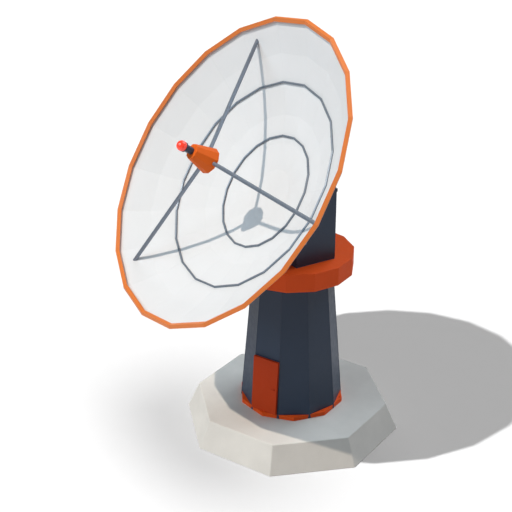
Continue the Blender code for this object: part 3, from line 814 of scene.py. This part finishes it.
class RADAR_OT_tower(Operator):
    """Paints the tower's plates and runs a weld bead down each corner."""

    bl_idname = "radar.tower"
    bl_label = "Tower"

    def execute(self, context):
        details = context.scene.radar_details
        walls = [name for name in frame["nodes"] if name.startswith("wall_panel")]
        doorway = ("door_jamb_left", "door_jamb_right", "door_header", "door_sill")
        paint_nodes(context, *walls, *doorway, "tower_top_plate")
        self.weld_corners(context, details)
        return {"FINISHED"}

    def weld_corners(self, context, details):
        """Beads that stand a little proud of the ten corners."""
        low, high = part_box("wall_panel_5")
        corner = math.cos(math.pi / TOWER_SIDES)
        foot_radius = high.y / corner
        top_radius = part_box("tower_top_plate")[1].y / corner
        clear = 2 * details.weld_radius  # over the kerb ring
        bm = bmesh.new()
        for index in range(TOWER_SIDES):
            direction = bearing_direction((index + 0.5) * FULL_TURN / TOWER_SIDES)
            foot = direction * foot_radius + Vector((0, 0, low.z + clear))
            top = direction * top_radius + Vector((0, 0, high.z))
            add_bead(bm, foot, top, details.weld_radius)
        add_piece(context, "corner_welds", bm, "navy_paint", "tower", smooth=True)


class RADAR_OT_base_ring(Operator):
    """Finishes the kerb ring and bolts it down beside each face but the door's."""

    bl_idname = "radar.base_ring"
    bl_label = "Base ring"

    def execute(self, context):
        details = context.scene.radar_details
        soften_nodes(context, details.sheet_edge, "base_ring")
        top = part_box("base_ring")[1].z
        faces = range(1, TOWER_SIDES)  # all but the door's
        share = FULL_TURN / TOWER_SIDES
        bm = bmesh.new()
        add_bolt_ring(bm, details.anchor_radius, top, 1, faces, share, details.bolt_size)
        add_piece(context, "anchor_bolts", bm, "red_paint", "tower")
        return {"FINISHED"}


class RADAR_OT_door(Operator):
    """Finishes the door's leaf, frame, hinges and pull, and lays the seal behind the leaf."""

    bl_idname = "radar.door"
    bl_label = "Door"

    def execute(self, context):
        details = context.scene.radar_details
        soften_nodes(context, details.sheet_edge, "door_leaf", "door_frame")
        paint_nodes(context, "door_hinge_low", "door_hinge_high")
        paint_nodes(context, "door_knuckle_low", "door_knuckle_high", "door_pull")
        self.lay_seal(context, details)
        self.stiffen_leaf(context, details)
        self.fit_lever(context, details)
        return {"FINISHED"}

    def lay_seal(self, context, details):
        """A rubber strip on the frame's face, around the doorway, behind the shut leaf."""
        low, high = box_in(DOOR_FRAME, "door_frame")
        width = details.seal_width
        side, head = high.x - SEAL_SIDE, high.z - SEAL_HEAD
        foot, top = low.z + SEAL_FOOT, head + width / 2
        runs = [
            ((sign * (side + width / 2), (foot + top) / 2), (width, top - foot))
            for sign in (-1, 1)
        ]
        runs.append(((0, top), (2 * (side + width), width)))
        bm = bmesh.new()
        for (x, z), (length, height) in runs:
            middle = Matrix.Translation((x, DOOR_GAP - SEAL_DEPTH / 2, z))
            add_block(bm, DOOR_FRAME @ middle, (length, SEAL_DEPTH, height))
        soften_edges(bm, SEAL_EDGE)
        add_piece(context, "door_seal", bm, "seal_rubber", "tower", smooth=True)

    def stiffen_leaf(self, context, details):
        """Three pressed stiffeners across the leaf's inner face, clear of the jambs."""
        low, high = box_in(DOOR_FRAME, "door_leaf")
        stretch = Matrix.Diagonal((STIFFENER_STRETCH, 1, 1, 1))
        stretch @= Matrix.Rotation(FULL_TURN / 8, 4, "Z")
        bm = bmesh.new()
        for share in STIFFENER_HEIGHTS:
            height = low.z + share * (high.z - low.z)
            place = DOOR_FRAME @ place_on((0, 0, height), (0, 1, 0), (1, 0, 0)) @ stretch
            add_round(bm, place, 4, STIFFENER_RADII, 0, details.stiffener_depth)
        soften_edges(bm, details.sheet_edge)
        add_piece(context, "leaf_stiffeners", bm, "shaded_door_paint", "door", smooth=True)

    def fit_lever(self, context, details):
        """A lever on the pull's round plate, that points back towards the hinges."""
        low, high = box_in(DOOR_FRAME, "door_pull")
        centre = (low + high) / 2
        radius = details.lever_radius
        seat = Vector((centre.x, low.y, centre.z))
        elbow = seat - Vector((0, LEVER_STAND_OFF * radius, 0))
        tip = elbow - Vector((details.lever_length, 0, 0))
        bm = bmesh.new()
        for start, end in ((seat, elbow), (elbow, tip)):
            add_bead(bm, DOOR_FRAME @ start, DOOR_FRAME @ end, radius, 16)
            knob = DOOR_FRAME @ Matrix.Translation(end)
            bmesh.ops.create_uvsphere(
                bm, u_segments=16, v_segments=10, radius=radius, matrix=knob
            )
        add_piece(context, "door_lever", bm, "shaded_door_paint", "door", smooth=True)


class RADAR_OT_turntable(Operator):
    """Finishes the turning housing, with bolts around its underside, and the bearing's races."""

    bl_idname = "radar.turntable"
    bl_label = "Turntable"

    def execute(self, context):
        details = context.scene.radar_details
        soften_nodes(context, details.plate_edge, "turntable_housing")
        paint_nodes(context, "bearing_fixed_race", "bearing_turning_race")
        low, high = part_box("turntable_housing")
        radius = 0.5 * (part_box("tower_top_plate")[1].x + high.x)
        numbers = range(details.housing_bolts)
        share = FULL_TURN / details.housing_bolts
        bm = bmesh.new()
        add_bolt_ring(bm, radius, low.z, -1, numbers, share, details.bolt_size)
        add_piece(context, "housing_bolts", bm, "red_paint", "head")
        return {"FINISHED"}


class RADAR_OT_fork(Operator):
    """Finishes the fork's arms, caps and saddle, with a bolted cover around each trunnion."""

    bl_idname = "radar.fork"
    bl_label = "Fork"

    def execute(self, context):
        details = context.scene.radar_details
        soften_nodes(
            context, details.plate_edge, "fork_arm_left", "fork_arm_right", "fork_saddle"
        )
        soften_nodes(context, details.sheet_edge, "fork_cap_left", "fork_cap_right")
        self.cover_bearings(context, details)
        self.weld_feet(context, details)
        return {"FINISHED"}

    def cover_bearings(self, context, details):
        bm = bmesh.new()
        for sign in (-1, 1):
            outward = LATERAL * sign
            place = place_on(HEAD_PIVOT + outward * ARM_OUTER, outward, (0, 0, 1))
            add_cover(bm, place, details.cover_radius, details)
        add_piece(context, "bearing_covers", bm, "navy_paint", "head", smooth=True)

    def weld_feet(self, context, details):
        """Beads around the feet of both arms and of the saddle, on top of the housing."""
        bm = bmesh.new()
        for name in ("fork_arm_left", "fork_arm_right", "fork_saddle"):
            low, high = box_in(HEAD_FRAME, name)
            outline = ((low.x, low.y), (high.x, low.y), (high.x, high.y), (low.x, high.y))
            for index, (x, y) in enumerate(outline):
                following = outline[(index + 1) % len(outline)]
                start = HEAD_FRAME @ Vector((x, y, low.z))
                end = HEAD_FRAME @ Vector((*following, low.z))
                add_bead(bm, start, end, details.weld_radius)
        add_piece(context, "fork_welds", bm, "navy_paint", "head", smooth=True)


class RADAR_OT_reflector(Operator):
    """Paints the reflector, its rim and hoops, and adds the rivets, clips, welds and splices."""

    bl_idname = "radar.reflector"
    bl_label = "Reflector"

    def execute(self, context):
        details = context.scene.radar_details
        paint_nodes(context, "reflector", "rim_tube", "hoop_inner", "hoop_outer")
        self.rivet_panels(context, details)
        self.clip_hoops(context, details)
        self.weld_rim(context, details)
        self.splice_ribs(context, details)
        return {"FINISHED"}

    def rivet_panels(self, context, details):
        """Rows of flat rivet heads along one side and the outer edge of each panel."""
        bm = bmesh.new()
        for sector in range(DISH_SIDES):
            for ring in range(DISH_RINGS):
                inner, outer = shell_point(ring, sector), shell_point(ring + 1, sector)
                next_outer = shell_point(ring + 1, sector + 1)
                middle = shell_point(ring + 0.6, sector + 0.5)  # well inside the panel
                self.rivet_row(bm, inner, outer, middle, details)
                if ring + 1 < DISH_RINGS:
                    self.rivet_row(bm, outer, next_outer, middle, details)
        add_piece(context, "panel_rivets", bm, "white_paint", "dish")

    def rivet_row(self, bm, start, end, middle, details):
        along = end - start
        inward = middle - start
        inward -= along * (inward.dot(along) / along.length_squared)
        inward.normalize()
        outward = along.cross(inward).normalized()
        if outward.z < 0:
            outward.negate()
        radius = details.rivet_radius
        count = int(along.length / details.rivet_pitch)
        for index in range(count):
            point = start + along * ((index + 0.5) / count) + inward * details.rivet_inset
            place = DISH_FRAME @ place_on(point, outward)
            radii = (radius, RIVET_TOP * radius)
            add_round(bm, place, 8, radii, -RIVET_SUNK * radius, RIVET_PROUD * radius)

    def clip_hoops(self, context, details):
        """A band over each hoop at the middle of every panel that it crosses."""
        bm = bmesh.new()
        half_sector = math.pi / DISH_SIDES
        for radius in HOOP_RADII:
            ring = int(radius / DISH_RADIUS * DISH_RINGS)
            inner, outer = shell_point(ring, 0), shell_point(ring + 1, 0)
            tilt = math.atan2(outer.z - inner.z, outer.y - inner.y)
            foot = inner.z + (radius - inner.y) * math.tan(tilt)
            lift = HOOP_TUBE * math.cos(math.pi / HOOP_TUBE_SIDES)
            reach = (radius - lift * math.sin(tilt)) * math.cos(half_sector)
            height = foot + lift * math.cos(tilt)
            for sector in range(DISH_SIDES):
                turn = (sector + 0.5) * FULL_TURN / DISH_SIDES
                away = Vector((math.sin(turn), math.cos(turn), 0))
                point = away * reach + Vector((0, 0, height))
                normal = Vector((0, 0, math.cos(tilt))) - away * math.sin(tilt)
                chord = normal.cross(away)
                place = DISH_FRAME @ place_on(point, chord, normal)
                radii = (CLIP_RADIUS, CLIP_RADIUS)
                half = details.clip_width / 2
                add_round(bm, place, HOOP_TUBE_SIDES, radii, -half, half)
        add_piece(context, "hoop_clips", bm, "slate_paint", "dish")

    def weld_rim(self, context, details):
        """A fine bead over each mitre of the rim tube."""
        bead = details.weld_radius / 2
        height = DISH_VERTEX + DISH_DEPTH + RIM_FORWARD
        section = (
            (DISH_RADIUS, height - RIM_HALF_WIDTH),
            (DISH_RADIUS + RIM_HALF_WIDTH, height),
            (DISH_RADIUS, height + RIM_HALF_WIDTH),
            (DISH_RADIUS - RIM_HALF_WIDTH, height),
        )
        bm = bmesh.new()
        for sector in range(DISH_SIDES):
            turn = Matrix.Rotation(-sector * FULL_TURN / DISH_SIDES, 4, "Z")
            place = DISH_FRAME @ turn
            corners = [place @ Vector((0, radius, rise)) for radius, rise in section]
            for start, end in zip(corners, corners[1:]):
                add_bead(bm, start, end, bead, 6)
        add_piece(context, "rim_welds", bm, "orange_paint", "dish", smooth=True)

    def splice_ribs(self, context, details):
        """A bolted plate on the back of each rib where a ring beam crosses it."""
        thickness = details.splice_thickness
        size = (SPLICE_LENGTH, details.splice_width, thickness)
        bolt_size = 0.7 * details.small_bolt
        bm = bmesh.new()
        for rib in range(RIB_COUNT):
            sector = -2 * rib - 0.5  # the ribs are numbered the other way round
            for ring in BEAM_RINGS:
                inner = self.rib_back(ring, sector)
                along = (self.rib_back(ring + 1, sector) - inner).normalized()
                across = along.cross(Vector((0, 0, 1))).normalized()
                behind = across.cross(along)
                if behind.z > 0:
                    behind.negate()
                middle = inner + along * (SPLICE_MIDDLE * SPLICE_LENGTH)
                place = DISH_FRAME @ place_on(middle, behind, along)
                add_block(bm, place @ Matrix.Translation((0, 0, thickness / 2)), size)
                for sign in (-1, 1):
                    step = sign * SPLICE_BOLTS * SPLICE_LENGTH
                    seat = Matrix.Translation((step, 0, thickness))
                    add_bolt(bm, place @ seat, bolt_size)
        add_piece(context, "rib_splices", bm, "white_paint", "dish")

    def rib_back(self, ring, sector):
        """The line along a rib's back, over the middle of a row of panels."""
        point = shell_point(ring, sector, SHELL_THICKNESS + RIB_DEPTH)
        shrink = math.cos(math.pi / DISH_SIDES)
        return Vector((point.x * shrink, point.y * shrink, point.z))


class RADAR_OT_feed(Operator):
    """Finishes the feed horn and its window, the stub, the beacon and the struts."""

    bl_idname = "radar.feed"
    bl_label = "Feed"

    def execute(self, context):
        details = context.scene.radar_details
        paint_nodes(context, "feed_stub", "strut_upper", "strut_lower", "strut_side")
        self.open_horn(context, details)
        self.round_beacon(context, details)
        return {"FINISHED"}

    def open_horn(self, context, details):
        """The horn with rounded edges, and its mouth sunk over a pale window."""
        bm = solid_shape("feed_horn")
        towards_dish = -DISH_AXIS
        mouth = max(bm.faces, key=lambda face: face.calc_center_median().dot(towards_dish))
        bmesh.ops.inset_region(
            bm, faces=[mouth], thickness=details.horn_lip, use_even_offset=True
        )
        facing = [face for face in bm.faces if face.normal.dot(towards_dish) > FACING]
        inner = max(facing, key=lambda face: len(face.verts))
        middle = inner.calc_center_median()
        radius = (inner.verts[0].co - middle).length
        recess = -towards_dish * details.horn_recess
        bmesh.ops.translate(bm, verts=self.sink(bm, inner), vec=recess)
        soften_edges(bm, details.plate_edge)
        horn = add_piece(context, "feed_horn_finished", bm, "sunlit_horn_paint", "dish")
        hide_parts("feed_horn")
        window = bmesh.new()
        thickness = HORN_WINDOW_DEPTH * details.horn_recess
        radii = [share * radius for share in HORN_WINDOW_RADII]
        add_round(window, place_on(middle + recess, towards_dish), 48, radii, 0, thickness)
        soften_edges(window, 0.2 * thickness)
        add_piece(context, "horn_window", window, "white_paint", "dish", smooth=True)

    def sink(self, bm, face):
        """The corners of a face, freed from its edge so that it can be pushed in."""
        raised = bmesh.ops.extrude_face_region(bm, geom=[face])["geom"]
        bmesh.ops.delete(bm, geom=[face], context="FACES_ONLY")
        return [item for item in raised if isinstance(item, bmesh.types.BMVert)]

    def round_beacon(self, context, details):
        """A smooth moulded dome on a turned seat, in the place of the faceted ball."""
        low, high = box_in(DISH_FRAME, "beacon_ball")
        radius = (high.x - low.x) / 2
        centre = HEAD_PIVOT + DISH_AXIS * (high.z - radius)
        ball = bmesh.new()
        bmesh.ops.create_uvsphere(
            ball, u_segments=48, v_segments=32, radius=radius, matrix=place_on(centre, DISH_AXIS)
        )
        foot = HEAD_PIVOT + DISH_AXIS * low.z
        geometry = ball.verts[:] + ball.edges[:] + ball.faces[:]
        cut = bmesh.ops.bisect_plane(
            ball, geom=geometry, plane_co=foot, plane_no=-DISH_AXIS, clear_outer=True
        )["geom_cut"]
        rim = [item for item in cut if isinstance(item, bmesh.types.BMEdge)]
        bmesh.ops.holes_fill(ball, edges=rim, sides=0)
        dome = add_piece(context, "beacon_dome", ball, "beacon_red", "dish", smooth=True)
        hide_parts("beacon_ball")
        collar = bmesh.new()
        for radius, low_end, high_end in COLLAR_STEPS:
            place = place_on(foot, DISH_AXIS)
            add_round(collar, place, 32, (radius, radius), low_end, high_end)
        soften_edges(collar, details.sheet_edge)
        add_piece(context, "beacon_collar", collar, "navy_paint", "dish", smooth=True)


class RADAR_OT_hub(Operator):
    """Finishes the hub with its covers, the trunnions and the slabs of the counterweight."""

    bl_idname = "radar.hub"
    bl_label = "Hub"

    def execute(self, context):
        details = context.scene.radar_details
        soften_nodes(context, details.plate_edge, "dish_hub")
        paint_nodes(context, "trunnion_left", "trunnion_right")
        self.cover_hub(context, details)
        self.stack_weight(context, details)
        return {"FINISHED"}

    def cover_hub(self, context, details):
        """A bolted cover on the upper and on the lower side of the hub."""
        back = box_in(DISH_FRAME, "dish_hub")[0].z
        bm = bmesh.new()
        for sign in (-1, 1):
            seat = Vector((0, sign * HUB_APOTHEM, back + details.hatch_height))
            place = DISH_FRAME @ place_on(seat, (0, sign, 0), (1, 0, 0))
            add_cover(bm, place, details.hatch_radius, details)
        add_piece(context, "hub_covers", bm, "navy_paint", "dish", smooth=True)

    def stack_weight(self, context, details):
        """Flame-cut slabs held together by four long bolts."""
        low, high = box_in(DISH_FRAME, "counterweight")
        size = high - low
        slab = size.z / details.weight_plates
        bm = bmesh.new()
        for index in range(details.weight_plates):
            middle = Matrix.Translation((0, 0, low.z + (index + 0.5) * slab))
            add_block(bm, DISH_FRAME @ middle, (size.x, size.y, slab - MILLIMETRE))
        soften_edges(bm, details.plate_edge)
        piece = add_piece(context, "counterweight_slabs", bm, "navy_paint", "dish")
        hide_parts("counterweight")
        bolts = bmesh.new()
        bolt_size = 1.5 * details.bolt_size
        across, up = WEIGHT_BOLTS[0] * size.x, WEIGHT_BOLTS[1] * size.y
        for x in (-across, across):
            for y in (-up, up):
                seat = Vector((x, y, low.z))
                place = DISH_FRAME @ place_on(seat, (0, 0, -1), (1, 0, 0))
                add_bolt(bolts, place, bolt_size)
        add_piece(context, "weight_bolts", bolts, "bare_steel", "dish")


OPERATORS = (
    RADAR_OT_stage,
    RADAR_OT_plinth,
    RADAR_OT_tower,
    RADAR_OT_base_ring,
    RADAR_OT_door,
    RADAR_OT_turntable,
    RADAR_OT_fork,
    RADAR_OT_reflector,
    RADAR_OT_feed,
    RADAR_OT_hub,
)


class RADAR_PT_sidebar(Panel):
    """The steps that finish the radar dish."""

    bl_idname = "RADAR_PT_sidebar"
    bl_label = "Radar dish"
    bl_space_type = "VIEW_3D"
    bl_region_type = "UI"
    bl_category = "Radar dish"

    def draw(self, context):
        for operator in OPERATORS:
            self.layout.operator(operator.bl_idname)
        for group in (
            context.scene.radar_stage,
            context.scene.radar_paints,
            context.scene.radar_details,
        ):
            box = self.layout.box()
            for name in group.__annotations__:
                box.prop(group, name)


GROUPS = {
    "radar_stage": RadarStageSettings,
    "radar_paints": RadarPaintSettings,
    "radar_details": RadarDetailSettings,
}


def register():
    for group in (*LAMPS.values(), *GROUPS.values()):
        bpy.utils.register_class(group)
    for name, group in GROUPS.items():
        setattr(bpy.types.Scene, name, PointerProperty(type=group))
    for cls in (*OPERATORS, RADAR_PT_sidebar):
        bpy.utils.register_class(cls)


def unregister():
    for cls in reversed((*OPERATORS, RADAR_PT_sidebar)):
        bpy.utils.unregister_class(cls)
    for name, group in reversed(GROUPS.items()):
        delattr(bpy.types.Scene, name)
        bpy.utils.unregister_class(group)
    for group in reversed(LAMPS.values()):
        bpy.utils.unregister_class(group)


def main():
    """Builds everything, then writes the solids' box and the finished model's box."""
    register()
    for operator in OPERATORS:
        family, step = operator.bl_idname.split(".")
        getattr(getattr(bpy.ops, family), step)()


if __name__ == "__main__":
    main()
